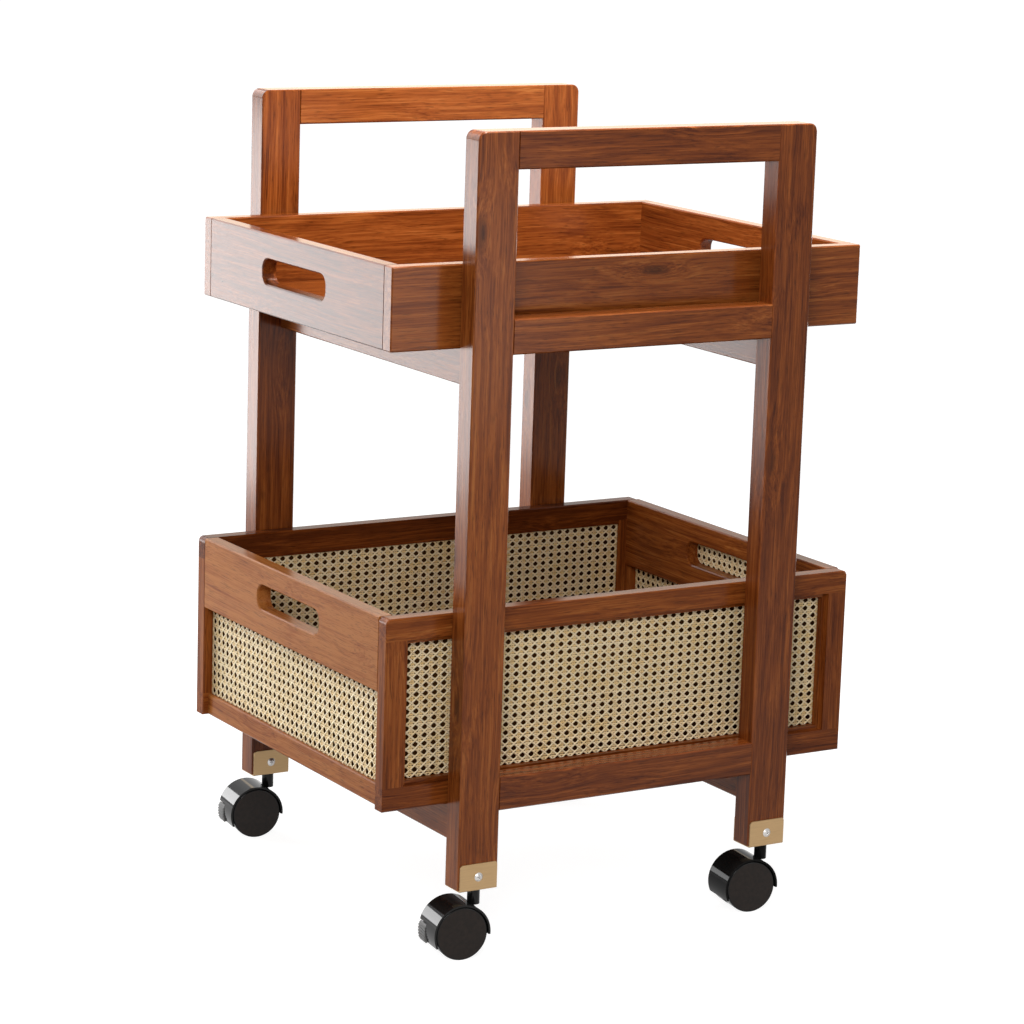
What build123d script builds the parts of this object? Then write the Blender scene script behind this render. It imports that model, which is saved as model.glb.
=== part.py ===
from build123d import *
import os
from math import cos, radians, sin

# A rolling storage cart: two wooden side frames joined by four cross rails, a
# lift-out tray on the upper cross rails, a slide-out basket with woven cane
# sides on the lower ones, and four twin-wheel casters, two with a brake.
# Millimetres. +X runs along the tray, +Y from the near side frame to the far
# one, +Z up. The origin is on the floor below the middle of tray and basket.

# Side frames
foot_height = 64.0            # floor to the underside of the foot brackets
frame_width = 362.0           # along X, over the posts
frame_shift = -8.0            # the frame's middle along X
frame_top = 755.0
post_width = 42.0
post_thickness = 24.0
top_corner_radius = 8.0
edge_easing = 1.2             # chamfer along the edges of posts, rails and boards
top_rail_height = 34.0
mid_rail_height = 32.0
mid_rail_bottom = 556.5
lower_rail_height = 31.0
lower_rail_bottom = 136.5

# Cross rails between the side frames
cross_rail_thickness = 15.0
cross_rail_inset_left = 24.0  # from the left posts' outer face
cross_rail_inset_right = 27.0  # from the right posts' inner face
upper_cross_height = 38.0
upper_cross_top = 559.0
lower_cross_height = 45.5
lower_cross_top = 140.0

# Mortise and tenon joints
tenon_length = 12.0
tenon_thickness = 8.0
tenon_shoulder = 6.0

# Tray and basket boxes
box_length = 508.0
board_thickness = 15.0
seat_gap = 0.3                # box above the cross rail that carries it
panel_thickness = 5.0
panel_rise = 6.0              # underside of a bottom panel above the box's own
tongue_thickness = 3.0        # the panel's edge, thinned to enter its grooves
groove_depth = 5.0
field_clearance = 0.2         # between the panel's full thickness and the walls
tray_side_gap = 9.0           # between the tray and each side frame
tray_height = 76.0
tray_slot_rise = 40.0         # middle of the hand slot above the tray's underside
slot_length = 125.0
slot_height = 24.0
slot_corner = 10.0
slot_easing = 1.2
basket_depth = 385.0
basket_side_gap = 3.5         # between the basket and each side frame
basket_height = 179.0
basket_slot_drop = 32.6       # middle of the hand slot below the basket's top
side_thickness = 15.5
side_top_rail = 21.0
rail_end_radius = 5.0         # rounded upper ends of the basket's top rails
side_bottom_rail = 22.0
stile_width = 21.0
bead_width = 4.0              # the members' inner bead round the cane
bead_setback = 5.0
cane_thickness = 1.5
cane_setback = 12.0           # cane behind the side's outer face
cane_groove = 3.0             # how far the cane's edge runs into its groove
end_board_height = 70.0
end_rail_height = 21.0
end_rail_setback = 5.5
end_cane_setback = 9.5
back_cane_margin = 8.0        # cane of the right end, below its top edge

# Foot brackets
bracket_thickness = 1.5
bracket_width = 39.0
bracket_height = 25.5
bracket_corner = 3.0
bend_radius = 1.2
screw_rise = 12.75            # screw above the bracket's underside
screw_head_radius = 4.2
screw_head_height = 2.2
screw_crown_radius = 2.4      # flat top of the head
screw_radius = 1.9
screw_length = 16.0

# Caster stems
stem_shift = 3.0              # swivel axis from the post's middle, along X
stem_radius = 4.0
stem_fit = 0.05               # running clearance round the stem
stem_hole_clearance = 0.2
stem_collar_radius = 5.4
stem_collar_height = 1.5
stem_engagement = 14.0        # stem inside the housing's bore
stem_rise = 9.0               # stem above the bracket's underside
nut_flats = 13.0
nut_height = 6.0
nut_pocket_radius = 8.0
pocket_headroom = 1.0

# Casters
wheel_radius = 25.0
wheel_inner = 3.3             # inner face from the caster's middle plane
wheel_outer = 17.4
wheel_bulge = 0.9             # rise of the outer face from its edge to the hub
wheel_hub_radius = 9.0        # flat middle of the outer face
tread_chamfer = 1.2
axle_radius = 2.5
axle_fit = 0.05
axle_half_length = 14.0
trail = 17.6                  # axle behind the swivel axis
caster_turn = -7.0            # degrees, as the casters stand
hood_radius = 27.8
hood_wall = 1.9
hood_half_width = 18.5
hood_back_drop = 25.0         # degrees below the axle, trailing side
hood_front_drop = 5.0         # degrees below the axle, leading side
web_half_thickness = 2.9
boss_radius = 5.9
boss_height = 14.6
boss_chamfer = 1.0
boss_gap = 0.1                # below the stem's collar

# Brake pedals
pedal_rise = 9.0              # degrees above the axle where the pedal hinges
pedal_pin_radius = 1.0
pedal_pin_inset = 1.5         # pin's middle below the hood's outer surface
pedal_pin_reach = 1.6         # trunnion inside the web
pedal_clearance = 0.35
pedal_wall = 2.0
pedal_flare = 1.8             # extra radius at the pedal's toe
pedal_bow = 0.72              # extra radius halfway down
pedal_relief = 5.0            # degrees of hood cut away above the hinge
rib_count = 5
rib_height = 0.6
rib_half_angle = 1.2

# Modelling
overcut = 1.0                 # how far a cut runs past the face it opens
same_place = 0.01             # places closer than this are one and the same

# Worked out from the sizes above
left_x = frame_shift - frame_width / 2
right_x = frame_shift + frame_width / 2
inner_y = basket_depth / 2 + basket_side_gap
side_y = inner_y + post_thickness
tray_y = inner_y - tray_side_gap
post_bottom = foot_height + bracket_thickness
half_box = box_length / 2
tray_bottom = upper_cross_top + seat_gap
tray_top = tray_bottom + tray_height
basket_bottom = lower_cross_top + seat_gap
basket_top = basket_bottom + basket_height
basket_y = basket_depth / 2
basket_inner_y = basket_y - side_thickness


def block(x, y, z):
    """A plain box between the low and high value given for each axis."""
    spans = (x, y, z)
    middle = [(low + high) / 2 for low, high in spans]
    size = [high - low for low, high in spans]
    return Pos(*middle) * Box(*size)


def span(a, b):
    """The two values in rising order."""
    return (min(a, b), max(a, b))


def eased(solid, axis):
    """The solid with its edges along one axis chamfered."""
    return chamfer(solid.edges().filter_by(axis), edge_easing)


def eased_outline(solid, plain_level):
    """The solid with the outlines of its Y faces chamfered, but for their edges at one level."""
    outline = [
        edge
        for face in solid.faces().filter_by(Axis.Y)
        for edge in face.edges()
        if abs(edge.center().Z - plain_level) > same_place
    ]
    return chamfer(outline, edge_easing)


# Side frames: in each, two posts, a top rail, a mid rail and a lower rail.
# side is -1 for the near frame and +1 for the far one, end is -1 for the left
# posts and +1 for the right ones.

rail_levels = {
    "top_rail": (frame_top - top_rail_height, frame_top),
    "mid_rail": (mid_rail_bottom, mid_rail_bottom + mid_rail_height),
    "lower_rail": (lower_rail_bottom, lower_rail_bottom + lower_rail_height),
}
cross_levels = {
    "upper": (upper_cross_top - upper_cross_height, upper_cross_top),
    "lower": (lower_cross_top - lower_cross_height, lower_cross_top),
}


def post_x(end):
    """Where a post starts and ends along X."""
    if end < 0:
        return (left_x, left_x + post_width)
    return (right_x - post_width, right_x)


def cross_x(end):
    """Where a cross rail starts and ends along X."""
    inset = cross_rail_inset_left if end < 0 else cross_rail_inset_right
    start = post_x(end)[0] + inset
    return (start, start + cross_rail_thickness)


def stem_x(end):
    """The swivel axis of the caster under a post."""
    return sum(post_x(end)) / 2 + stem_shift


def stem_y(side):
    return side * (side_y - post_thickness / 2)


def rail_tenon(side, end, level):
    """A side rail's tenon, inside the post at that end."""
    low, high = rail_levels[level]
    joint = post_x(end)[1] if end < 0 else post_x(end)[0]
    reach = joint + end * tenon_length
    middle = stem_y(side)
    return block(
        span(joint, reach),
        (middle - tenon_thickness / 2, middle + tenon_thickness / 2),
        (low + tenon_shoulder, high - tenon_shoulder),
    )


def cross_tenon(side, end, level):
    """A cross rail's tenon, inside the post at that corner."""
    low, high = cross_levels[level]
    middle = sum(cross_x(end)) / 2
    joint = side * inner_y
    return block(
        (middle - tenon_thickness / 2, middle + tenon_thickness / 2),
        span(joint, joint + side * tenon_length),
        (low + tenon_shoulder, high - tenon_shoulder),
    )


def bracket_screw(side, end, face):
    """A raised-head wood screw through a bracket's plate, face -1 towards -Y."""
    crown = screw_length + screw_head_height
    outline = Polyline(
        (0, 0),
        (screw_radius, 0),
        (screw_radius, screw_length),
        (screw_head_radius, screw_length),
        (screw_crown_radius, crown),
        (0, crown),
        close=True,
    )
    body = revolve(Plane.XZ * make_face(outline), Axis.Z, 360)
    start = stem_y(side) + face * (post_thickness / 2 + bracket_thickness - screw_length)
    tip = Pos(sum(post_x(end)) / 2, start, foot_height + screw_rise)
    return tip * Rot(-90 * face, 0, 0) * body


def post(side, end):
    x = post_x(end)
    y = span(side * side_y, side * inner_y)
    solid = block(x, y, (post_bottom, frame_top))
    outer_x = x[0] if end < 0 else x[1]
    corner = [
        edge for edge in solid.edges().filter_by(Axis.Y).group_by(Axis.Z)[-1]
        if abs(edge.center().X - outer_x) < same_place
    ]
    solid = fillet(corner, top_corner_radius)
    solid = eased_outline(solid, post_bottom)
    for level in rail_levels:
        solid -= rail_tenon(side, end, level)
    for level in cross_levels:
        solid -= cross_tenon(side, end, level)
    pocket_height = stem_rise - bracket_thickness + pocket_headroom
    pocket = Cylinder(nut_pocket_radius, pocket_height, align=(Align.CENTER, Align.CENTER, Align.MIN))
    solid -= Pos(stem_x(end), stem_y(side), post_bottom) * pocket
    for face in (-1, 1):
        solid -= bracket_screw(side, end, face)
    return solid


def side_rail(side, level):
    x = (post_x(-1)[1], post_x(1)[0])
    y = span(side * side_y, side * inner_y)
    solid = eased(block(x, y, rail_levels[level]), Axis.X)
    return solid + rail_tenon(side, -1, level) + rail_tenon(side, 1, level)


def cross_rail(end, level):
    solid = eased(block(cross_x(end), (-inner_y, inner_y), cross_levels[level]), Axis.Y)
    return solid + cross_tenon(-1, end, level) + cross_tenon(1, end, level)


# Foot brackets: a bent strip under each post, up both its faces, with a nut
# inside for the caster's stem.

def foot_bracket(side, end):
    half = post_thickness / 2
    outer = Rectangle(2 * (half + bracket_thickness), bracket_height, align=(Align.CENTER, Align.MIN))
    outer = fillet(outer.vertices().group_by(Axis.Y)[0], bend_radius)
    inner = Pos(0, bracket_thickness) * Rectangle(
        2 * half, bracket_height, align=(Align.CENTER, Align.MIN)
    )
    strip = extrude(Plane.YZ * (outer - inner), bracket_width / 2, both=True)
    ears = strip.edges().filter_by(Axis.Y).group_by(Axis.Z)[-1]
    strip = fillet(ears, bracket_corner)
    middle = sum(post_x(end)) / 2
    strip = Pos(middle, stem_y(side), foot_height) * strip
    hole = Cylinder(stem_radius + stem_hole_clearance, 2 * (bracket_thickness + overcut))
    strip -= Pos(stem_x(end), stem_y(side), foot_height) * hole
    for face in (-1, 1):
        strip -= bracket_screw(side, end, face)
    return strip


def stem_nut(side, end):
    across_corners = nut_flats / cos(radians(30)) / 2
    blank = extrude(RegularPolygon(across_corners, 6), nut_height)
    bore = Cylinder(stem_radius, 2 * (nut_height + overcut))
    return Pos(stem_x(end), stem_y(side), post_bottom) * (blank - bore)


def caster_stem(side, end):
    collar = Cylinder(
        stem_collar_radius, stem_collar_height, align=(Align.CENTER, Align.CENTER, Align.MAX)
    )
    low = -stem_collar_height - stem_engagement
    rod = Pos(0, 0, low) * Cylinder(
        stem_radius, stem_rise - low, align=(Align.CENTER, Align.CENTER, Align.MIN)
    )
    return Pos(stem_x(end), stem_y(side), foot_height) * (rod + collar)


# Tray: two long boards with two slotted end boards between them and a thin
# bottom panel in their grooves.

def hand_slot(x, middle_z):
    """A hand hole through an end board, its length along the board."""
    shape = RectangleRounded(slot_length, slot_height, slot_corner)
    hole = extrude(Plane.YZ * shape, x[1] - x[0] + 2 * overcut)
    return Pos(x[0] - overcut, 0, middle_z) * hole


def slotted_board(x, y, z, middle_z):
    """An end board with its long edges and the rim of its hand slot eased."""
    board = eased(block(x, (-y, y), z), Axis.Y)
    board -= hand_slot(x, middle_z)
    rim = [
        edge
        for face in board.faces().filter_by(Axis.X)
        for edge in face.inner_wires()[0].edges()
    ]
    return chamfer(rim, slot_easing)


def bottom_panel(x, y, underside):
    """A bottom panel between inner walls, with a thinner tongue in the grooves round it."""
    low = underside + panel_rise
    tongue = block(
        (x[0] - groove_depth, x[1] + groove_depth),
        (-y - groove_depth, y + groove_depth),
        (low, low + tongue_thickness),
    )
    field = block(
        (x[0] + field_clearance, x[1] - field_clearance),
        (-y + field_clearance, y - field_clearance),
        (low, low + panel_thickness),
    )
    return tongue + field


tray_inner_x = half_box - board_thickness
tray_inner_y = tray_y - board_thickness
tray_panel = bottom_panel((-tray_inner_x, tray_inner_x), tray_inner_y, tray_bottom)


def tray_long_board(side):
    y = span(side * tray_y, side * tray_inner_y)
    board = block((-half_box, half_box), y, (tray_bottom, tray_top))
    return chamfer(board.edges(), edge_easing) - tray_panel


def tray_end_board(end):
    x = span(end * half_box, end * tray_inner_x)
    board = slotted_board(x, tray_inner_y, (tray_bottom, tray_top), tray_bottom + tray_slot_rise)
    return board - tray_panel


# Basket: each side is a frame of two rails and two stiles round a cane panel.
# The left end has a slotted board above cane, the right end the same board
# with one sheet of cane over its outer face.

stile_total = stile_width + bead_width
side_opening_x = half_box - stile_total
side_opening_z = (
    basket_bottom + side_bottom_rail + bead_width,
    basket_top - side_top_rail - bead_width,
)


def side_layer(side, near, far):
    """A layer of a basket side, between two depths behind its outer face."""
    return span(side * (basket_y - near), side * (basket_y - far))


def side_cane(side):
    return block(
        (-side_opening_x - cane_groove, side_opening_x + cane_groove),
        side_layer(side, cane_setback, cane_setback + cane_thickness),
        (side_opening_z[0] - cane_groove, side_opening_z[1] + cane_groove),
    )


end_cane_x = -half_box + end_cane_setback
left_rail_x = (-half_box + end_rail_setback, -half_box + end_rail_setback + board_thickness)
right_inner_x = half_box - board_thickness
end_opening_z = (basket_bottom + end_rail_height, basket_top - end_board_height)

left_cane = block(
    (end_cane_x, end_cane_x + cane_thickness),
    (-basket_inner_y - cane_groove, basket_inner_y + cane_groove),
    (end_opening_z[0] - cane_groove, end_opening_z[1] + cane_groove),
)
right_cane = block(
    (half_box - cane_thickness, half_box),
    (-basket_inner_y, basket_inner_y),
    (basket_bottom + back_cane_margin, basket_top - back_cane_margin),
)
basket_panel = bottom_panel((left_rail_x[1], right_inner_x), basket_inner_y, basket_bottom)


def side_rail_of_basket(side, top):
    """A rail over the side's full length, with a bead between the stiles. The top rail's
    upper ends are rounded."""
    height = side_top_rail if top else side_bottom_rail
    edge = basket_top if top else basket_bottom
    inward = -1 if top else 1
    lip = edge + inward * height
    board = block((-half_box, half_box), side_layer(side, 0, side_thickness), span(edge, lip))
    if top:
        board = fillet(board.edges().filter_by(Axis.Y).group_by(Axis.Z)[-1], rail_end_radius)
    board = eased_outline(board, lip)
    bead = block(
        (-side_opening_x, side_opening_x),
        side_layer(side, bead_setback, side_thickness),
        span(lip, lip + inward * bead_width),
    )
    return board + bead - side_cane(side) - left_cane - basket_panel


def stile(side, end):
    """An upright between the rails, with a bead along the cane."""
    z = (basket_bottom + side_bottom_rail, basket_top - side_top_rail)
    outer = end * half_box
    board = block(span(outer, outer - end * stile_width), side_layer(side, 0, side_thickness), z)
    upright = [
        item for item in board.edges().filter_by(Axis.Z)
        if abs(item.center().X - outer) < same_place
    ]
    board = chamfer(upright, edge_easing)
    bead = block(
        span(outer - end * stile_width, outer - end * stile_total),
        side_layer(side, bead_setback, side_thickness),
        z,
    )
    return board + bead - side_cane(side) - left_cane


def basket_end_board(end):
    x = span(end * half_box, end * right_inner_x)
    z = (basket_top - end_board_height, basket_top)
    board = slotted_board(x, basket_inner_y, z, basket_top - basket_slot_drop)
    return board - left_cane - right_cane


def basket_end_rail(end):
    x = left_rail_x if end < 0 else (right_inner_x, half_box)
    z = (basket_bottom, basket_bottom + end_rail_height)
    rail = eased(block(x, (-basket_inner_y, basket_inner_y), z), Axis.Y)
    return rail - left_cane - right_cane - basket_panel


# Casters, built about their own swivel axis with the axle along Y, the axle
# trailing towards -X and the floor at z = 0, then turned and moved to a post.

def caster_place(side, end):
    return Pos(stem_x(end), stem_y(side), 0) * Rot(0, 0, caster_turn)


def drum(radius, near, far):
    """A cylinder round the axle between two distances from the middle plane."""
    disc = extrude(Plane.XZ * Circle(radius), abs(far - near))
    return Pos(-trail, max(far, near), wheel_radius) * disc


def ring_point(radius, degrees):
    """A point round the axle in the caster's XZ plane, 0 degrees to the trailing side."""
    angle = radians(degrees)
    return (-trail - radius * cos(angle), wheel_radius + radius * sin(angle))


def ring_sector(inner, outer, start, end, near, far):
    """Part of a ring round the axle, from one angle to the other."""
    middle = (start + end) / 2
    outline = (
        Line(ring_point(inner, start), ring_point(outer, start))
        + ThreePointArc(ring_point(outer, start), ring_point(outer, middle), ring_point(outer, end))
        + Line(ring_point(outer, end), ring_point(inner, end))
        + ThreePointArc(ring_point(inner, end), ring_point(inner, middle), ring_point(inner, start))
    )
    return Pos(0, max(near, far), 0) * extrude(Plane.XZ * make_face(outline), abs(far - near))


def pedal_pin(radius, near, far):
    x, z = ring_point(hood_radius - pedal_pin_inset, pedal_rise)
    pin = extrude(Plane.XZ * Circle(radius), abs(far - near))
    return Pos(x, max(near, far), z) * pin


def housing(braked):
    """Hood over both wheels, web between them and boss round the stem."""
    front = 180 + hood_front_drop
    solid = ring_sector(
        hood_radius - hood_wall, hood_radius, -hood_back_drop, front,
        -hood_half_width, hood_half_width,
    )
    web = drum(hood_radius - hood_wall / 2, -web_half_thickness, web_half_thickness)
    drop = hood_radius * sin(radians(hood_back_drop))
    below = block(
        (-trail - 2 * hood_radius, -trail + 2 * hood_radius),
        (-hood_radius, hood_radius),
        (-hood_radius, wheel_radius - drop),
    )
    solid += web - below
    boss_top = foot_height - stem_collar_height - boss_gap
    boss = Pos(0, 0, boss_top) * Cylinder(
        boss_radius, boss_height, align=(Align.CENTER, Align.CENTER, Align.MAX)
    )
    boss = chamfer(boss.edges().group_by(Axis.Z)[-1], boss_chamfer)
    solid += boss
    bore_depth = stem_engagement + boss_gap
    bore = Cylinder(
        stem_radius + stem_fit, bore_depth, align=(Align.CENTER, Align.CENTER, Align.MAX)
    )
    solid -= Pos(0, 0, boss_top) * bore
    solid -= drum(axle_radius, -axle_half_length, axle_half_length)
    if braked:
        solid -= ring_sector(
            hood_radius - hood_wall - overcut, hood_radius + overcut,
            -hood_back_drop - overcut, pedal_rise + pedal_relief,
            web_half_thickness, hood_half_width + overcut,
        )
        hole_end = web_half_thickness - pedal_pin_reach
        solid -= pedal_pin(pedal_pin_radius + axle_fit, hole_end, web_half_thickness)
    return solid


def axle():
    return drum(axle_radius, -axle_half_length, axle_half_length)


def wheel(side):
    """A wheel with a chamfered tread and a face that bulges to its flat hub."""
    hub = wheel_outer + wheel_bulge
    bore = axle_radius + axle_fit
    blind = axle_half_length + axle_fit
    outline = Polyline(
        (bore, wheel_inner),
        (wheel_radius, wheel_inner),
        (wheel_radius, wheel_outer - tread_chamfer),
        (wheel_radius - tread_chamfer, wheel_outer),
        (wheel_hub_radius, hub),
        (0, hub),
        (0, blind),
        (bore, blind),
        close=True,
    )
    body = revolve(Plane.XZ * make_face(outline), Axis.Z, 360)
    return Pos(-trail, 0, wheel_radius) * Rot(-90 * side, 0, 0) * body


def pedal():
    """A curved, ribbed tab behind the far wheel, hinged on its own trunnion."""
    near = web_half_thickness + pedal_clearance
    far = hood_half_width - pedal_clearance / 2
    inner = hood_radius - pedal_wall + pedal_clearance / 2
    toe = -hood_back_drop
    middle = (pedal_rise + toe) / 2
    shell = (
        Line(ring_point(inner, pedal_rise), ring_point(hood_radius, pedal_rise))
        + ThreePointArc(
            ring_point(hood_radius, pedal_rise),
            ring_point(hood_radius + pedal_bow, middle),
            ring_point(hood_radius + pedal_flare, toe),
        )
        + Line(ring_point(hood_radius + pedal_flare, toe), ring_point(inner, toe))
        + ThreePointArc(ring_point(inner, toe), ring_point(inner, middle), ring_point(inner, pedal_rise))
    )
    solid = Pos(0, far, 0) * extrude(Plane.XZ * make_face(shell), far - near)
    solid += pedal_pin(pedal_pin_radius, web_half_thickness - pedal_pin_reach, far)
    pitch = (pedal_rise - toe) / (rib_count + 1)
    for number in range(1, rib_count + 1):
        angle = pedal_rise - number * pitch
        share = number / (rib_count + 1)
        face = hood_radius + pedal_flare * share
        solid += ring_sector(
            face - rib_height, face + rib_height,
            angle - rib_half_angle, angle + rib_half_angle, near, far,
        )
    return solid


# The parts, each by the name of its file.

sides = {"near": -1, "far": 1}
ends = {"left": -1, "right": 1}
corners = [(side, end) for side in sides.values() for end in ends.values()]

parts = {}
for side_name, side in sides.items():
    for end_name, end in ends.items():
        parts[f"{side_name}_{end_name}_post"] = post(side, end)
        parts[f"basket_{side_name}_{end_name}_stile"] = stile(side, end)
    for level in rail_levels:
        parts[f"{side_name}_{level}"] = side_rail(side, level)
    parts[f"tray_{side_name}_board"] = tray_long_board(side)
    parts[f"basket_{side_name}_top_rail"] = side_rail_of_basket(side, True)
    parts[f"basket_{side_name}_bottom_rail"] = side_rail_of_basket(side, False)
    parts[f"basket_{side_name}_cane"] = side_cane(side)
for end_name, end in ends.items():
    for level in cross_levels:
        parts[f"{level}_{end_name}_cross_rail"] = cross_rail(end, level)
    parts[f"tray_{end_name}_end"] = tray_end_board(end)
    parts[f"basket_{end_name}_end_board"] = basket_end_board(end)
    parts[f"basket_{end_name}_end_rail"] = basket_end_rail(end)
parts["tray_bottom_panel"] = tray_panel
parts["basket_left_cane"] = left_cane
parts["basket_right_cane"] = right_cane
parts["basket_bottom_panel"] = basket_panel
parts["foot_brackets"] = Compound([foot_bracket(*corner) for corner in corners])
parts["bracket_screws"] = Compound(
    [bracket_screw(*corner, face) for corner in corners for face in (-1, 1)]
)
parts["stem_nuts"] = Compound([stem_nut(*corner) for corner in corners])
parts["caster_stems"] = Compound([caster_stem(*corner) for corner in corners])
for side_name, side in sides.items():
    for end_name, end in ends.items():
        place = caster_place(side, end)
        caster = f"{side_name}_{end_name}_caster"
        braked = end_name == "left"
        parts[f"{caster}_housing"] = place * housing(braked)
        parts[f"{caster}_axle"] = place * axle()
        parts[f"{caster}_near_wheel"] = place * wheel(-1)
        parts[f"{caster}_far_wheel"] = place * wheel(1)
        if braked:
            parts[f"{caster}_brake_pedal"] = place * pedal()

os.makedirs("parts", exist_ok=True)
for name, solid in parts.items():
    export_step(solid, f"parts/{name}.step")

# Places that the joints and mounts use.
turn = radians(caster_turn)
for side_name, side in sides.items():
    for end_name, end in ends.items():
        x, y = stem_x(end), stem_y(side)
        axle_x = x - trail * cos(turn)
        axle_y = y - trail * sin(turn)
        print(f"{side_name} {end_name} caster: swivel {x:.3f} {y:.3f}, axle {axle_x:.3f} {axle_y:.3f}")
pin_x, pin_z = ring_point(hood_radius - pedal_pin_inset, pedal_rise)
print(f"pedal pin: {pin_x * cos(turn):.3f} {pin_x * sin(turn):.3f} from the swivel axis, z {pin_z:.3f}")
print(f"axle direction towards the near side: {sin(turn):.6f} {-cos(turn):.6f} 0")
print(f"{len(parts)} parts")
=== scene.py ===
from math import cos, pi, radians, sin

import bmesh
import bpy
import numpy as np
from mathutils import Matrix, Vector


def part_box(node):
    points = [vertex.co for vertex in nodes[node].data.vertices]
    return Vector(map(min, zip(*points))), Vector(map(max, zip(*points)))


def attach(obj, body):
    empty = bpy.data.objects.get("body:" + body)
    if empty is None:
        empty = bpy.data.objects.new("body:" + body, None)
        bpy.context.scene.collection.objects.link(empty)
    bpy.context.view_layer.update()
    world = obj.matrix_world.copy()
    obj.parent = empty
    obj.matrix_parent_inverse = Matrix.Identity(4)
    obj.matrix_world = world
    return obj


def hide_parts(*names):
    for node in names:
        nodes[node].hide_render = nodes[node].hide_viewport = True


# A rolling storage cart of dark varnished wood with a lift-out tray, a basket
# with woven cane sides and four twin-wheel casters. Metres, +Z up, in the
# frame's own axes: +X along the tray, +Y from the near side frame to the far.

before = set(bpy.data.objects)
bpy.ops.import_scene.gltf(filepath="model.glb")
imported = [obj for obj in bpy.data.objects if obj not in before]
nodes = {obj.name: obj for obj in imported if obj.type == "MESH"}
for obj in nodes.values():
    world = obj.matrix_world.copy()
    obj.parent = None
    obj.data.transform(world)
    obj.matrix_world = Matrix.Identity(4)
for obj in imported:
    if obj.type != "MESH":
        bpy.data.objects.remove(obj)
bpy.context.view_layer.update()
MM = 0.001
SIDES = ("near", "far")
ENDS = ("left", "right")

# Where the photograph was taken from
camera_place = (-1.69624, -2.77855, 1.03718)
camera_heading = radians(31.246)      # from +Y towards +X
camera_drop = radians(11.757)         # below the horizon
camera_roll = radians(1.818)
camera_lens = 120.1                   # in millimetres, as the sensor's width is
camera_sensor = 36.0

# Casters, as the solids have them
caster_turn = radians(-7.0)
wheel_radius = 25.0 * MM
wheel_inner = 3.3 * MM                # inner face from the caster's middle plane
wheel_outer = 17.4 * MM
wheel_bulge = 0.9 * MM
wheel_bore = 2.55 * MM
wheel_bore_end = 14.05 * MM
tread_round = 1.1 * MM
tread_steps = 5
face_inset = 0.5 * MM                 # the domed face starts this far inside the tread's round
face_rings = 22
wheel_segments = 96
bracket_plate = 1.5 * MM


# Materials

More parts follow.
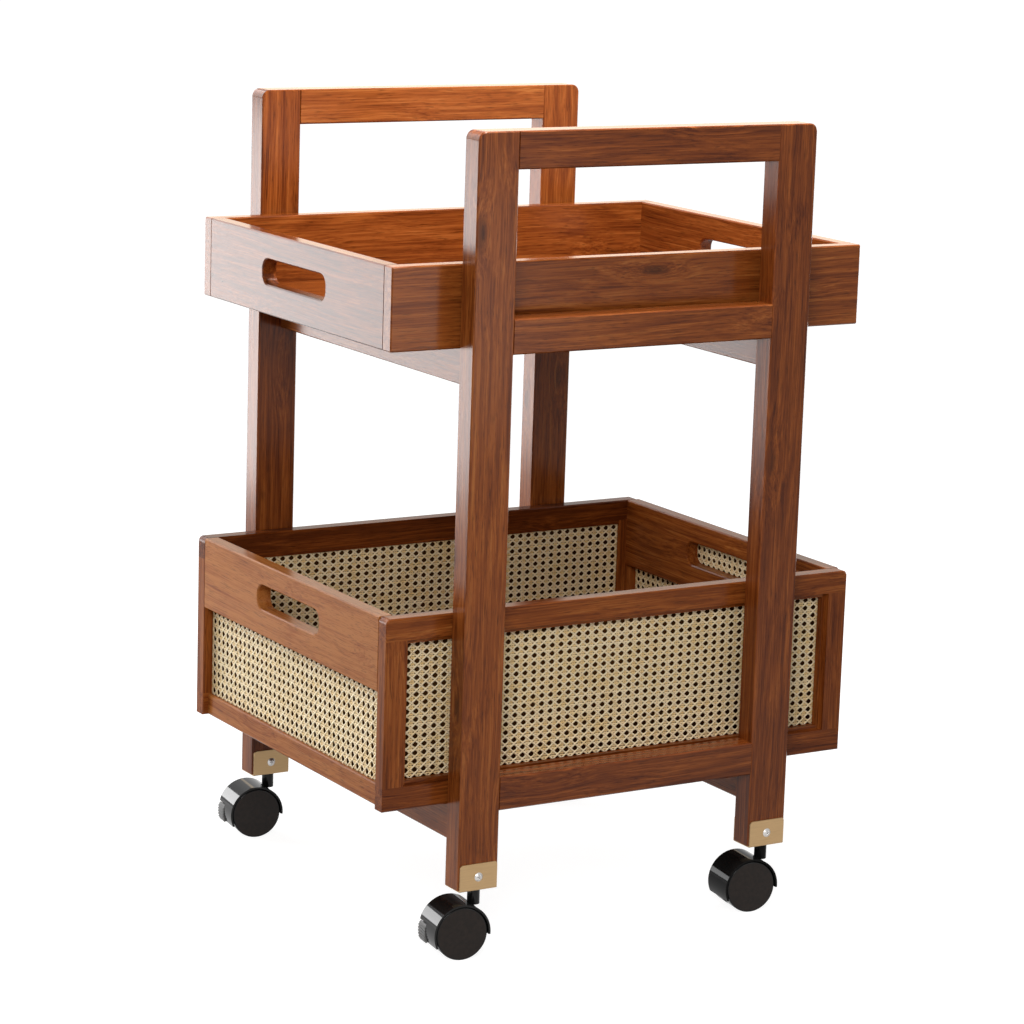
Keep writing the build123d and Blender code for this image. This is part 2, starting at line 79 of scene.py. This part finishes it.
class Finish:
    """A material under construction: its node tree and the shader at its end."""

    def __init__(self, name):
        self.material = bpy.data.materials.new(name)
        self.material.use_nodes = True
        self.tree = self.material.node_tree
        self.shader = self.tree.nodes["Principled BSDF"]

    def node(self, kind, **settings):
        made = self.tree.nodes.new(kind)
        for key, value in settings.items():
            setattr(made, key, value)
        return made

    def link(self, source, target):
        self.tree.links.new(source, target)

    def set(self, **values):
        """Numbers on the shader's own sockets, by their names with _ for a space."""
        for key, value in values.items():
            self.shader.inputs[key.replace("_", " ")].default_value = value

    def colour(self, source):
        self.link(source, self.shader.inputs["Base Color"])

    def roughness(self, source):
        self.link(source, self.shader.inputs["Roughness"])

    def place(self, scale=(1, 1, 1), shift=(0, 0, 0)):
        """The object's own coordinates, moved and then stretched."""
        coordinates = self.node("ShaderNodeTexCoord")
        mapping = self.node("ShaderNodeMapping")
        mapping.inputs["Location"].default_value = shift
        mapping.inputs["Scale"].default_value = scale
        self.link(coordinates.outputs["Object"], mapping.inputs["Vector"])
        return mapping.outputs["Vector"]

    def noise(self, vector, scale=1.0, detail=2.0, roughness=0.5):
        made = self.node("ShaderNodeTexNoise")
        made.inputs["Scale"].default_value = scale
        made.inputs["Detail"].default_value = detail
        made.inputs["Roughness"].default_value = roughness
        self.link(vector, made.inputs["Vector"])
        return made.outputs["Fac"]

    def cells(self, vector):
        """Distance to the nearest of some scattered points."""
        made = self.node("ShaderNodeTexVoronoi")
        made.inputs["Scale"].default_value = 1.0
        self.link(vector, made.inputs["Vector"])
        return made.outputs["Distance"]

    def moved(self, vector, amount):
        """The vector with one number added to all its parts."""
        made = self.node("ShaderNodeVectorMath", operation="ADD")
        self.link(vector, made.inputs[0])
        self.link(amount, made.inputs[1])
        return made.outputs["Vector"]

    def math(self, operation, first, second=None):
        made = self.node("ShaderNodeMath", operation=operation)
        for socket, value in zip(made.inputs, (first, second)):
            if value is None:
                continue
            if isinstance(value, (int, float)):
                socket.default_value = value
            else:
                self.link(value, socket)
        return made.outputs[0]

    def weighted(self, *terms):
        """The sum of each value less a half, times its weight."""
        total = None
        for value, weight in terms:
            part = self.math("MULTIPLY", self.math("SUBTRACT", value, 0.5), weight)
            total = part if total is None else self.math("ADD", total, part)
        return total

    def span(self, value, low, high, to_low=0.0, to_high=1.0):
        """The value stretched from one span to another and clamped to it."""
        made = self.node("ShaderNodeMapRange")
        for key, number in (("From Min", low), ("From Max", high), ("To Min", to_low), ("To Max", to_high)):
            made.inputs[key].default_value = number
        self.link(value, made.inputs["Value"])
        return made.outputs["Result"]

    def ramp(self, value, stops):
        made = self.node("ShaderNodeValToRGB")
        elements = made.color_ramp.elements
        while len(elements) < len(stops):
            elements.new(0.5)
        for element, (position, colour) in zip(elements, stops):
            element.position = position
            element.color = (*colour, 1)
        self.link(value, made.inputs["Fac"])
        return made.outputs["Color"]

    def mix(self, factor, first, second, blend="MIX"):
        made = self.node("ShaderNodeMix", data_type="RGBA", blend_type=blend)
        for socket, value in zip((made.inputs[0], made.inputs[6], made.inputs[7]), (factor, first, second)):
            if isinstance(value, tuple):
                socket.default_value = (*value, 1)
            elif isinstance(value, (int, float)):
                socket.default_value = value
            else:
                self.link(value, socket)
        return made.outputs[2]

    def attribute(self, name):
        return self.node("ShaderNodeAttribute", attribute_name=name).outputs["Fac"]

    def bump(self, height, strength, distance):
        made = self.node("ShaderNodeBump")
        made.inputs["Strength"].default_value = strength
        made.inputs["Distance"].default_value = distance
        self.link(height, made.inputs["Height"])
        self.link(made.outputs["Normal"], self.shader.inputs["Normal"])


WOOD_DARK = (0.090, 0.019, 0.004)
WOOD_BROWN = (0.180, 0.044, 0.008)
WOOD_RED = (0.265, 0.073, 0.014)
WOOD_PALE = (0.400, 0.145, 0.036)
COAT_INDEX = 1.25                     # under real varnish's 1.5, for a softer shine
BASKET_COAT = 0.65                    # the basket's varnish is thinner than the rest's

# The wood's noises by their scale along the grain and across it, per metre. A third
# number says how far a bend of the grain moves the noise, in the noise's own units.
KNOTS = (6.0, 20.0)
SWAY = (5.0, 9.0)
GROWTH = (1.5, 20.0, 0.25)
STREAKS = (4.0, 200.0, 2.0)
FINE_STREAKS = (16.0, 760.0, 7.5)
PORES = (72.0, 1150.0, 10.5)
GROWTH_LINES = 14.0                   # in one full swing of the growth noise
KNOT_REACH = 0.42                     # how far round a knot the grain bends, in cells
PORE_SHADE = 0.55                     # brightness of a pore beside clear wood
HEART_SHADE = 0.4                     # the same for a knot's heart


def along_grain(grain, along, across):
    """A stretch with one number along the grain's axis and another across it."""
    return tuple(along if axis == grain else across for axis in "xyz")


def wood(name, grain, shift, tone, coat):
    """Stained wood under satin varnish: growth lines from the contours of a long soft
    noise, streaks and finer streaks over them, and short dark pores, all drawn out
    along the board's grain axis. Rare knots are the near parts of scattered cells, and
    the grain bends round them. The shift gives each board its own figure."""
    finish = Finish(name)
    knots = finish.cells(finish.place(along_grain(grain, *KNOTS), shift))
    bend = finish.span(knots, 0.0, KNOT_REACH, 1.0, 0.0)
    sway = finish.noise(finish.place(along_grain(grain, *SWAY), shift), detail=2.0)
    bend = finish.math("ADD", finish.math("MULTIPLY", bend, bend), sway)

    def drawn(kind, **settings):
        """Noise drawn out along the grain, moved across it by the bend times the reach."""
        along, across, reach = kind
        place = finish.place(along_grain(grain, along, across), shift)
        moved = finish.moved(place, finish.math("MULTIPLY", bend, reach))
        return finish.noise(moved, **settings)

    growth = drawn(GROWTH, detail=1.0)
    lines = finish.math("PINGPONG", finish.math("MULTIPLY", growth, GROWTH_LINES), 0.5)
    lines = finish.span(lines, 0.0, 0.5)
    streaks = drawn(STREAKS, detail=5.0, roughness=0.66)
    fine = drawn(FINE_STREAKS, detail=3.0, roughness=0.6)
    blend = finish.weighted((lines, 0.14), (streaks, 0.86), (fine, 0.80))
    # The tone lightens or darkens the whole board: painted light and shade for some boards, plus a small
    # random tone
    blend = finish.math("ADD", blend, 0.5 + tone)
    colour = finish.ramp(blend, [
        (0.20, WOOD_DARK), (0.42, WOOD_BROWN), (0.60, WOOD_RED), (0.88, WOOD_PALE),
    ])
    flecks = drawn(PORES, detail=2.0)
    pores = finish.span(flecks, 0.30, 0.45, PORE_SHADE, 1.0)
    hearts = finish.span(knots, 0.03, 0.12, HEART_SHADE, 1.0)
    marks = finish.math("MULTIPLY", pores, hearts)
    finish.colour(finish.mix(1.0, colour, marks, "MULTIPLY"))
    finish.set(Roughness=0.55, Specular_IOR_Level=0.0)
    finish.set(Coat_Weight=coat, Coat_Roughness=0.2, Coat_IOR=COAT_INDEX)
    finish.bump(finish.math("ADD", streaks, flecks), 0.08, 0.0002)
    return finish.material


CANE_YELLOW = (0.80, 0.57, 0.25)
CANE_PALE = (0.97, 0.83, 0.57)
# A dark sheet inside the weave: painted shade, seen through the holes
SHADE_SHEET_DARK = (0.024, 0.009, 0.002)
SHADE_SHEET_BROWN = (0.052, 0.022, 0.006)


def cane(name):
    """Split cane: cream strands that differ in tone, with fine fibres and darker nodes."""
    finish = Finish(name)
    cloudy = finish.noise(finish.place(), scale=60.0, detail=2.0)
    fine = finish.noise(finish.place(), scale=900.0, detail=2.0)
    blend = finish.math("ADD", finish.attribute("strand"), finish.weighted((cloudy, 0.8)))
    colour = finish.ramp(blend, [(0.2, CANE_YELLOW), (0.8, CANE_PALE)])
    speck = finish.span(fine, 0.28, 0.42, 0.78, 1.0)
    finish.colour(finish.mix(1.0, colour, speck, "MULTIPLY"))
    finish.set(Roughness=0.5)
    finish.bump(fine, 0.15, 0.0001)
    return finish.material


def shade_sheet(name):
    """Painted shade: a dark brown sheet inside the weave, with a fine thread pattern, standing for the
    shade seen through the holes.
    """
    finish = Finish(name)
    threads = finish.noise(finish.place(), scale=2400.0, detail=1.0)
    finish.colour(finish.ramp(threads, [(0.3, SHADE_SHEET_DARK), (0.7, SHADE_SHEET_BROWN)]))
    finish.set(Roughness=0.9, Specular_IOR_Level=0.0)
    return finish.material


def plastic(name, colour, roughness, shine):
    """Moulded plastic with a faint unevenness from the mould."""
    finish = Finish(name)
    skin = finish.noise(finish.place(), scale=700.0, detail=2.0)
    finish.colour(finish.mix(1.0, colour, finish.span(skin, 0.3, 0.7, 0.85, 1.15), "MULTIPLY"))
    finish.roughness(finish.span(skin, 0.3, 0.7, roughness, roughness + 0.03))
    finish.set(Specular_IOR_Level=shine)
    return finish.material


def wheel_plastic(name):
    """Black tread and a brown-black face, told apart by the piece's own attribute."""
    finish = Finish(name)
    skin = finish.noise(finish.place(), scale=260.0, detail=2.0)
    face = finish.ramp(skin, [(0.3, (0.010, 0.006, 0.004)), (0.7, (0.017, 0.010, 0.007))])
    finish.colour(finish.mix(finish.attribute("face"), (0.006, 0.006, 0.006), face))
    finish.roughness(finish.span(skin, 0.3, 0.7, 0.10, 0.16))
    finish.set(Specular_IOR_Level=0.18)
    return finish.material


BRUSH_STRETCH = 20            # length of a brush mark over its width


def metal(name, colour, roughness, marks_per_metre):
    """Metal with fine brush marks along X."""
    finish = Finish(name)
    stretch = (marks_per_metre / BRUSH_STRETCH, marks_per_metre, marks_per_metre)
    marks = finish.noise(finish.place(stretch), detail=2.0)
    finish.colour(finish.mix(1.0, colour, finish.span(marks, 0.3, 0.7, 0.92, 1.06), "MULTIPLY"))
    finish.roughness(finish.span(marks, 0.3, 0.7, roughness, roughness + 0.10))
    finish.set(Metallic=1.0)
    finish.bump(marks, 0.06, 0.0001)
    return finish.material


def dress(node, material):
    """Gives a CAD node its finish."""
    mesh = nodes[node].data
    mesh.materials.clear()
    mesh.materials.append(material)


# Wood: every board by the axis of its grain

boards = {"x": [], "y": [], "z": []}
for side in SIDES:
    boards["z"] += [f"{side}_{end}_post" for end in ENDS]
    boards["z"] += [f"basket_{side}_{end}_stile" for end in ENDS]
    boards["x"] += [f"{side}_{level}_rail" for level in ("top", "mid", "lower")]
    boards["x"] += [f"tray_{side}_board", f"basket_{side}_top_rail", f"basket_{side}_bottom_rail"]
for end in ENDS:
    boards["y"] += [f"{level}_{end}_cross_rail" for level in ("upper", "lower")]
    boards["y"] += [f"tray_{end}_end", f"basket_{end}_end_board", f"basket_{end}_end_rail"]
boards["x"] += ["tray_bottom_panel", "basket_bottom_panel"]

# Painted light and shade: boards made lighter where more light falls on them and darker where shade falls
lit_and_shaded_tones = {
    "basket_left_end_board": 0.33,
    "basket_left_end_rail": 0.18,
    "lower_left_cross_rail": 0.05,
    "tray_left_end": -0.14,
    "near_right_post": -0.11,
    "basket_near_right_stile": -0.08,
    "basket_near_bottom_rail": -0.10,
    "near_lower_rail": -0.10,
    "near_mid_rail": -0.05,
    "basket_far_top_rail": -0.24,
    "far_top_rail": 0.08,
    "far_left_post": -0.09,
    "near_top_rail": -0.11,
}

figure_shift = 5.0            # metres, so that no two boards share a figure
tone_stray = 0.02
chance = np.random.default_rng(7)
for grain, members in boards.items():
    for node in members:
        shift = tuple(chance.uniform(-figure_shift, figure_shift, 3))
        # The board's painted light or shade, plus a small random tone of its own
        tone = lit_and_shaded_tones.get(node, 0.0) + chance.uniform(-tone_stray, tone_stray)
        coat = BASKET_COAT if node.startswith("basket") else 1.0
        dress(node, wood(f"wood_{node}", grain, shift, tone, coat))


# Made surfaces

merge_within = 1e-6
least_edge = 1e-7


def surface(name, vertices, faces, materials, body, node, values=None, shade_sheet_from=None):
    """A closed piece that rides a body in place of a CAD node. The values, where given,
    name a point attribute and its numbers; faces from the given index on are the dark sheet's, which is
    painted shade."""
    mesh = bpy.data.meshes.new(name)
    mesh.from_pydata(vertices, [], faces.tolist())
    for key, numbers in (values or {}).items():
        mesh.attributes.new(key, "FLOAT", "POINT").data.foreach_set("value", numbers)
    for material in materials:
        mesh.materials.append(material)
    if shade_sheet_from is not None:
        index = (np.arange(len(faces)) >= shade_sheet_from).astype(np.int32)
        mesh.polygons.foreach_set("material_index", index)
    work = bmesh.new()
    work.from_mesh(mesh)
    bmesh.ops.remove_doubles(work, verts=work.verts, dist=merge_within)
    bmesh.ops.dissolve_degenerate(work, edges=work.edges, dist=least_edge)
    bmesh.ops.recalc_face_normals(work, faces=work.faces)
    work.to_mesh(mesh)
    work.free()
    mesh.shade_smooth()
    piece = bpy.data.objects.new(name, mesh)
    bpy.context.scene.collection.objects.link(piece)
    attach(piece, body)
    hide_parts(node)


def revolved(profile, segments):
    """Points and faces of a profile of (radius, height) pairs turned round its axis, from
    pole to pole: x = r cos a, y = r sin a, z = h, with a in equal steps."""
    radius, height = np.asarray(profile, float).T
    angle = np.arange(segments) * 2 * pi / segments
    points = np.stack(np.broadcast_arrays(
        radius[:, None] * np.cos(angle),
        radius[:, None] * np.sin(angle),
        height[:, None],
    ), axis=-1)
    index = np.arange(len(profile) * segments).reshape(len(profile), segments)
    turned = np.roll(index, -1, axis=1)
    faces = np.stack([index[:-1], turned[:-1], turned[1:], index[1:]], axis=-1).reshape(-1, 4)
    return points, faces


def arc(centre, radius, start, end, steps):
    """Profile points on an arc, by its centre, radius and two angles in degrees."""
    angle = np.radians(np.linspace(start, end, steps))
    return list(zip(centre[0] + radius * np.cos(angle), centre[1] + radius * np.sin(angle)))


def set_on_axis(points, centre, axis):
    """The points with their own z axis laid along a level axis at a centre."""
    axis = np.asarray(axis, float)
    level = np.array([-axis[1], axis[0], 0.0])
    up = np.cross(axis, level)
    return np.asarray(centre) + points[..., :1] * level + points[..., 1:2] * up + points[..., 2:] * axis


# Woven cane

def strands(centres, widthwise, outward, half_width, half_thickness):
    """Closed strands of four-sided section. Each row of centres is one strand's middle
    line; the section at a point is that point plus and minus half the width across
    and half the thickness outwards, in the order left, crown, right, back."""
    count, steps = centres.shape[:2]
    across = np.broadcast_to(widthwise, (count, steps, 3)) * half_width
    out = np.broadcast_to(np.asarray(outward, float), (count, steps, 3)) * half_thickness
    points = np.stack([centres - across, centres + out, centres + across, centres - out], axis=2)
    index = np.arange(count * steps * 4).reshape(count, steps, 4)
    turned = np.roll(index, -1, axis=2)
    faces = np.stack([index[:, :-1], turned[:, :-1], turned[:, 1:], index[:, 1:]], axis=-1).reshape(-1, 4)
    caps = np.concatenate([index[:, 0, ::-1], index[:, -1]])
    return points.reshape(-1, 3), np.concatenate([faces, caps])


def thin_box(low, high):
    """Corners and faces of a box between two corners."""
    corners = np.array([[x, y, z] for x in (0, 1) for y in (0, 1) for z in (0, 1)])
    faces = np.array([
        [0, 1, 3, 2], [4, 6, 7, 5], [0, 4, 5, 1], [2, 3, 7, 6], [0, 2, 6, 4], [1, 5, 7, 3],
    ])
    return low + corners * (high - low), faces


pair_gap = 1.16 * MM          # middles of an upright pair, from the pair's own middle
level_gap = 1.12 * MM
upright_half = 1.10 * MM
level_half = 1.04 * MM
slant_half = 0.88 * MM
slant_thin = 0.22 * MM
strand_half = 0.26 * MM
slant_height = 0.42 * MM
slant_wave = 0.10 * MM
weave_wave = 0.08 * MM
# Half the thickness of the dark sheet, painted shade behind the holes
shade_sheet_half = 0.05 * MM
shortest_slant = 0.2          # in pitches; what would be shorter is left out

# The strands' tones from yellow towards pale, and how far one strand strays from them
straight_tone = 0.30
slant_tone = 0.80
tone_spread = 0.30


def cane_panel(name, node, axis, columns, rows, margin, top_margin, bottom_margin):
    """A woven panel in place of a CAD sheet. The holes lie on a grid with the given
    counts; between columns run pairs of upright strands, between rows pairs of level
    ones, and on both faces two sets of slanting strands cross midway between
    neighbouring holes, each over the other in turn. A dark sheet lies at the middle as painted shade, so
    that the holes show dark."""
    low, high = (np.array(corner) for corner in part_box(node))
    along = "xy".index(axis)
    depth = 1 - along
    face = (low[depth] + high[depth]) / 2
    pitch = (high[along] - low[along] - 2 * margin) / columns
    rise = (high[2] - low[2] - top_margin - bottom_margin) / rows
    unit = np.eye(3)
    normal = unit[depth]

    def point(s, z, height):
        """From grid places, counted in pitches from the first hole's own middle."""
        place = np.zeros(np.broadcast(s, z, height).shape + (3,))
        place[..., along] = low[along] + margin + (s + 0.5) * pitch
        place[..., 2] = low[2] + bottom_margin + (z + 0.5) * rise
        place[..., depth] = face + height
        return place

    first_s, last_s = -0.5 - margin / pitch, columns - 0.5 + margin / pitch
    first_z, last_z = -0.5 - bottom_margin / rise, rows - 0.5 + top_margin / rise
    parts, tones = [], []

    def add(centres, widthwise, half_width, half_thickness, tone):
        parts.append(strands(centres, widthwise, normal, half_width, half_thickness))
        count, steps = centres.shape[:2]
        tones.append(np.repeat(tone + chance.uniform(-tone_spread, tone_spread, count), steps * 4))

    upright_z = np.clip(np.arange(-1, 2 * rows + 1) / 2, first_z, last_z)
    upright_s = np.arange(-1, columns) + 0.5
    for shift in (-1, 1):
        s = upright_s[:, None] + shift * pair_gap / pitch
        z = np.broadcast_to(upright_z, (len(upright_s), len(upright_z)))
        wave = -weave_wave * np.cos(2 * pi * z)
        add(point(s, z, wave), unit[along], upright_half, strand_half, straight_tone)

    level_s = np.clip(np.arange(-1, 2 * columns + 1) / 2, first_s, last_s)
    level_z = np.arange(-1, rows) + 0.5
    for shift in (-1, 1):
        z = level_z[:, None] + shift * level_gap / rise
        s = np.broadcast_to(level_s, (len(level_z), len(level_s)))
        wave = weave_wave * np.cos(2 * pi * s)
        add(point(s, z, wave), unit[2], level_half, strand_half, straight_tone)

    reach = columns + rows
    path = np.arange(-1, 2 * columns + 1) / 2
    crossing = np.arange(-reach, 2 * reach) + 0.5
    for slope in (-1, 1):
        entry = np.where(slope > 0, first_z - crossing, crossing - last_z)
        leave = np.where(slope > 0, last_z - crossing, crossing - first_z)
        entry, leave = np.maximum(entry, first_s), np.minimum(leave, last_s)
        keep = leave - entry > shortest_slant
        s = np.clip(path, entry[keep, None], leave[keep, None])
        z = slope * s + crossing[keep, None]
        slant = unit[2] * pitch - slope * unit[along] * rise
        slant /= np.linalg.norm(slant)
        height = slant_height + slope * slant_wave * np.cos(2 * pi * s)
        for outward in (-1, 1):
            add(point(s, z, outward * height), slant, slant_half, slant_thin, slant_tone)

    # The dark sheet at the middle: painted shade for the holes
    sheet_low, sheet_high = low.copy(), high.copy()
    sheet_low[depth], sheet_high[depth] = face - shade_sheet_half, face + shade_sheet_half
    corners, sheet_faces = thin_box(sheet_low, sheet_high)
    parts.append((corners, sheet_faces))
    tones.append(np.zeros(len(corners)))
    counts = [len(points) for points, quads in parts]
    offsets = np.cumsum([0] + counts[:-1])
    vertices = np.concatenate([points for points, quads in parts])
    faces = np.concatenate([quads + offset for (points, quads), offset in zip(parts, offsets)])
    surface(
        name, vertices, faces, (cane(f"cane_{name}"), shade_sheet(f"lining_{name}")),
        "basket", node, {"strand": np.concatenate(tones)}, len(faces) - len(sheet_faces),
    )


# Holes along each panel and up it, then its margins at the ends, the top and the bottom
for side in SIDES:
    cane_panel(f"basket_{side}_weave", f"basket_{side}_cane", "x", 48, 16, 3 * MM, 2.6 * MM, 6 * MM)
cane_panel("basket_left_weave", "basket_left_cane", "y", 38, 10, 3 * MM, 3 * MM, 3 * MM)
cane_panel("basket_right_weave", "basket_right_cane", "y", 38, 20, 1 * MM, 1 * MM, 1 * MM)


# Wheels with smooth domed faces

def caster_wheel(caster, which, body):
    """A wheel turned from its profile. The face rises from its rim as
    h = bulge (1 - (r / R)^2) above the rim's own height."""
    rim = wheel_radius - tread_round
    face_radius = rim - face_inset
    radii = np.linspace(face_radius, 0, face_rings)
    dome = list(zip(radii, wheel_outer + wheel_bulge * (1 - (radii / face_radius) ** 2)))
    profile = [
        (0, wheel_bore_end),
        (wheel_bore, wheel_bore_end),
        (wheel_bore, wheel_inner),
        (rim, wheel_inner),
        *arc((rim, wheel_inner + tread_round), tread_round, -90, 0, tread_steps),
        *arc((rim, wheel_outer - tread_round), tread_round, 0, 90, tread_steps),
        *dome,
    ]
    points, faces = revolved(profile, wheel_segments)
    on_dome = np.arange(len(profile))[:, None] >= len(profile) - len(dome)
    face = np.broadcast_to(on_dome, points.shape[:2])
    low, high = (np.array(corner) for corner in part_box(f"{caster}_axle"))
    outward = -1 if which == "near" else 1
    axis = outward * np.array([-sin(caster_turn), cos(caster_turn), 0.0])
    points = set_on_axis(points, (low + high) / 2, axis)
    surface(
        f"{caster}_{which}_disc", points.reshape(-1, 3), faces, (wheel_plastic(f"wheel_{caster}_{which}"),),
        body, f"{caster}_{which}_wheel", {"face": face.reshape(-1).astype(float)},
    )


# Screws with a domed head and a cross recess

head_radius = 4.2 * MM
head_crown = 2.1 * MM
head_base = -0.3 * MM         # from the plate's outer face, as the edge's top is
head_edge = 0.15 * MM
dome_start = 0.98             # of the head's radius
head_rings = 21
head_segments = 48
recess_half_width = 0.55 * MM
recess_reach = 2.1 * MM
recess_depth = 1.1 * MM
recess_slope = 0.35 * MM


def screw_head(turn):
    """A dome h = crown (1 - (r / R)^2), with a cross sunk into it whose walls fall over
    the slope's width: depth times the lesser of the two distances inside an arm."""
    radii = np.linspace(head_radius * dome_start, 0, head_rings)
    domed = head_crown * (1 - (radii / head_radius) ** 2)
    flank = [(0, head_base), (head_radius, head_base), (head_radius, head_edge)]
    profile = flank + list(zip(radii, domed))
    points, faces = revolved(profile, head_segments)
    u = points[..., 0] * cos(turn) + points[..., 1] * sin(turn)
    v = points[..., 1] * cos(turn) - points[..., 0] * sin(turn)
    arms = [
        np.minimum(recess_half_width - np.abs(first), recess_reach - np.abs(second))
        for first, second in ((u, v), (v, u))
    ]
    inside = np.clip(np.maximum(*arms) / recess_slope, 0, 1)
    top = np.arange(len(profile))[:, None] >= len(flank)
    points[..., 2] -= np.where(top, recess_depth * inside, 0)
    return points.reshape(-1, 3), faces


def bracket_screws():
    """A head on each of the eight bracket plates."""
    low, high = (np.array(corner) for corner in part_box("bracket_screws"))
    height = (low[2] + high[2]) / 2
    vertices, faces = [], []
    for side in SIDES:
        for end in ENDS:
            post_low, post_high = (np.array(corner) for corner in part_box(f"{side}_{end}_post"))
            middle = (post_low[0] + post_high[0]) / 2
            for direction, plane in ((-1, post_low[1]), (1, post_high[1])):
                points, quads = screw_head(chance.uniform(0, pi / 2))
                centre = (middle, plane + direction * bracket_plate, height)
                faces.append(quads + sum(len(points) for points in vertices))
                vertices.append(set_on_axis(points, centre, (0, direction, 0)))
    surface(
        "bracket_screw_heads", np.concatenate(vertices), np.concatenate(faces),
        (metal("screw_steel", (0.50, 0.49, 0.48), 0.28, 2500),),
        "frame", "bracket_screws",
    )


# Brackets, stems and casters

hood_shine = {"left": 0.18, "right": 0.05}

bracket_screws()
dress("foot_brackets", metal("champagne", (0.37, 0.25, 0.13), 0.42, 900))
dress("stem_nuts", metal("nut_steel", (0.62, 0.62, 0.62), 0.3, 2500))
dress("caster_stems", plastic("stem_black", (0.008, 0.008, 0.008), 0.25, 0.1))
for side in SIDES:
    for end in ENDS:
        caster = f"{side}_{end}_caster"
        shine = hood_shine[end]
        dress(f"{caster}_housing", plastic(f"hood_{side}_{end}", (0.006, 0.006, 0.006), 0.05, shine))
        dress(f"{caster}_axle", metal(f"axle_{side}_{end}", (0.6, 0.6, 0.6), 0.3, 2500))
        for which in SIDES:
            caster_wheel(caster, which, f"{caster}_{which}_wheel")
        if end == "left":
            dress(f"{caster}_brake_pedal", plastic(f"pedal_{side}_{end}", (0.15, 0.15, 0.15), 0.4, 0.3))


# Studio

def soft_box(name, place, target, size, radiance, colour=(1, 1, 1)):
    """A rectangular lamp, unseen by the camera, facing its target. A radiance of 1 is white."""
    lamp = bpy.data.lights.new(name, "AREA")
    lamp.shape = "RECTANGLE"
    lamp.size, lamp.size_y = size
    lamp.energy = radiance * pi * size[0] * size[1]
    lamp.color = colour
    holder = bpy.data.objects.new(name, lamp)
    holder.location = place
    facing = Vector(target) - Vector(place)
    holder.rotation_mode = "QUATERNION"
    holder.rotation_quaternion = facing.to_track_quat("-Z", "Y")
    holder.visible_camera = False
    bpy.context.scene.collection.objects.link(holder)


WARM_WHITE = (1.0, 0.96, 0.92)
AMBER = (1.0, 0.75, 0.45)
PEACH = (1.0, 0.89, 0.82)

soft_box("back_left", (-0.91, 1.25, 0.365), (-0.27, 0.0, 0.365), (1.12, 0.53), 8.6)
soft_box("back_high", (-0.62, 1.25, 1.14), (-0.2, -0.1, 0.7), (1.3, 0.8), 4.0)
soft_box("back_right", (1.05, 1.75, 1.02), (0.0, 0.0, 1.02), (1.4, 0.48), 1.3, AMBER)
soft_box("front_left", (-1.12, -1.62, 1.2), (-0.1, -0.2, 0.4), (0.7, 0.7), 12.6, WARM_WHITE)
soft_box("front_low", (0.52, -1.75, 0.375), (-0.1, -0.2, 0.5), (0.55, 0.38), 2.4)
soft_box("right", (1.7, 0.35, 0.5), (0.0, 0.15, 0.4), (0.9, 0.8), 4.5, WARM_WHITE)
soft_box("overhead", (0.0, -0.26, 1.45), (0.0, 0.0, 0.6), (0.35, 0.2), 74.0, PEACH)

ambient = 0.25                # strength of the white world in what isn't seen directly
floor_half = 40.0
floor_grey = (0.3, 0.3, 0.3, 1)
near_glow = 0.90              # how white the floor is out to the near reach
near_reach = 0.45
far_reach = 1.4               # from here on it is fully white


def seen_directly(tree):
    """1 for camera, glossy and transmission rays, 0 for the rest."""
    path = tree.nodes.new("ShaderNodeLightPath")
    seen = path.outputs["Is Camera Ray"]
    for kind in ("Is Glossy Ray", "Is Transmission Ray"):
        either = tree.nodes.new("ShaderNodeMath")
        either.operation = "MAXIMUM"
        tree.links.new(seen, either.inputs[0])
        tree.links.new(path.outputs[kind], either.inputs[1])
        seen = either.outputs[0]
    return seen


def white_floor():
    """A floor that is white where it is seen, a little less so near the cart, where it
    keeps the cart's soft shadow."""
    corners = [(x * floor_half, y * floor_half, 0) for x, y in ((-1, -1), (1, -1), (1, 1), (-1, 1))]
    mesh = bpy.data.meshes.new("floor")
    mesh.from_pydata(corners, [], [(0, 1, 2, 3)])
    floor = bpy.data.objects.new("floor", mesh)
    bpy.context.scene.collection.objects.link(floor)
    finish = Finish("white_floor")
    finish.set(Roughness=0.9, Specular_IOR_Level=0.0)
    finish.shader.inputs["Base Color"].default_value = floor_grey
    finish.shader.inputs["Emission Color"].default_value = (1, 1, 1, 1)
    distance = finish.node("ShaderNodeVectorMath", operation="LENGTH")
    finish.link(finish.place(), distance.inputs[0])
    glow = finish.span(distance.outputs["Value"], near_reach, far_reach, near_glow, 1.0)
    glow = finish.math("MULTIPLY", glow, seen_directly(finish.tree))
    finish.link(glow, finish.shader.inputs["Emission Strength"])
    mesh.materials.append(finish.material)


white_floor()

world = bpy.data.worlds.new("studio")
bpy.context.scene.world = world
world.use_nodes = True
tree = world.node_tree
background = tree.nodes["Background"]
strength = tree.nodes.new("ShaderNodeMapRange")
strength.inputs["To Min"].default_value = ambient
strength.inputs["To Max"].default_value = 1.0
tree.links.new(seen_directly(tree), strength.inputs["Value"])
background.inputs["Color"].default_value = (1, 1, 1, 1)
tree.links.new(strength.outputs["Result"], background.inputs["Strength"])

# Camera

lens = bpy.data.cameras.new("photo_camera")
lens.lens = camera_lens
lens.sensor_width = camera_sensor
lens.clip_end = 80.0
camera = bpy.data.objects.new("photo_camera", lens)
bpy.context.scene.collection.objects.link(camera)
forward = Vector((
    sin(camera_heading) * cos(camera_drop),
    cos(camera_heading) * cos(camera_drop),
    -sin(camera_drop),
))
level_right = Vector((cos(camera_heading), -sin(camera_heading), 0))
level_up = level_right.cross(forward)
right = cos(camera_roll) * level_right + sin(camera_roll) * level_up
up = -sin(camera_roll) * level_right + cos(camera_roll) * level_up
camera.matrix_world = Matrix.Translation(camera_place) @ Matrix((right, up, -forward)).transposed().to_4x4()
bpy.context.scene.camera = camera
bpy.context.scene.view_settings.view_transform = "Standard"
